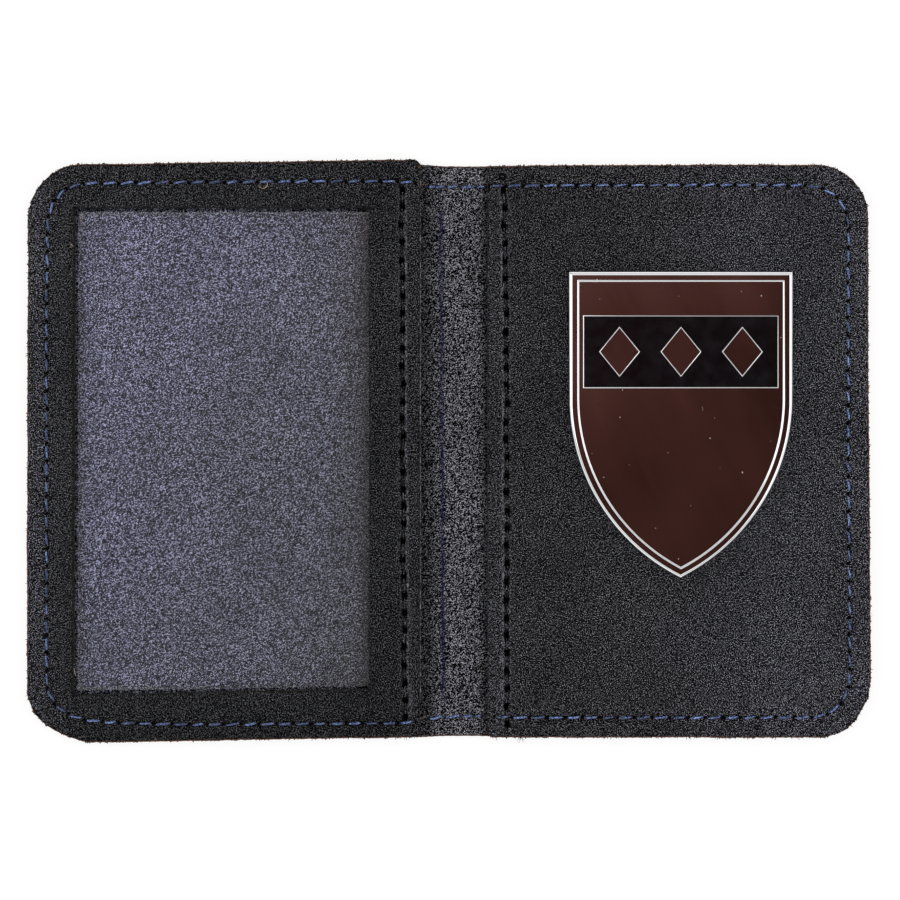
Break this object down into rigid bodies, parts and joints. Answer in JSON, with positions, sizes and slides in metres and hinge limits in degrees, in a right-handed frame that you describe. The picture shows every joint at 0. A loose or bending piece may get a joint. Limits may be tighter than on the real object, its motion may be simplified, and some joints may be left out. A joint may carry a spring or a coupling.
{
  "type": "id badge wallet",
  "caption": "Bifold leather badge wallet lying open: a card pocket with a clear window on one leaf, a metal shield emblem on the other, sewn all round, folding at the spine.",
  "frame": {"origin": "middle of the outer face of the cover, on the table that the open wallet lies on", "axes": "+X across the open wallet from the window leaf to the emblem leaf, +Y up the page, +Z out of the table"},
  "size_m": [0.144, 0.098, 0.0059],
  "materials": {
    "cover_leather": "black grain outside, grey flesh side inside",
    "panel_leather": "matte fine grain",
    "clear_film": "clear vinyl",
    "blue_thread": "twisted thread",
    "black_thread": "twisted thread",
    "emblem_chrome": "polished plating",
    "black_enamel": "gloss enamel",
    "fixing_steel": "plain sheet"
  },
  "bodies": {
    "window_half": {"cover_left": "cover_leather", "window_panel": "panel_leather", "window_film": "clear_film", "seam_top_thread_left": "blue_thread", "seam_bobbin_thread_left": "blue_thread", "window_edge_top_thread": "black_thread", "window_edge_bobbin_thread": "black_thread"},
    "spine_strip": {"spine": "cover_leather", "seam_top_thread_spine": "blue_thread", "seam_bobbin_thread_spine": "blue_thread"},
    "emblem_half": {"cover_right": "cover_leather", "badge_panel": "panel_leather", "emblem_plate": "emblem_chrome", "emblem_enamel": "black_enamel", "emblem_legs": "fixing_steel", "emblem_backing": "fixing_steel", "seam_top_thread_right": "blue_thread", "seam_bobbin_thread_right": "blue_thread", "badge_edge_top_thread": "black_thread", "badge_edge_bobbin_thread": "black_thread"}
  },
  "joints": [
    {"name": "fold_left", "type": "hinge", "parent": "window_half", "child": "spine_strip", "pos_m": [-0.0047, 0, 0.0014], "axis": [0, -1, 0], "range_deg": [0, 90]},
    {"name": "fold_right", "type": "hinge", "parent": "spine_strip", "child": "emblem_half", "pos_m": [0.0047, 0, 0.0014], "axis": [0, -1, 0], "range_deg": [0, 90]}
  ]
}
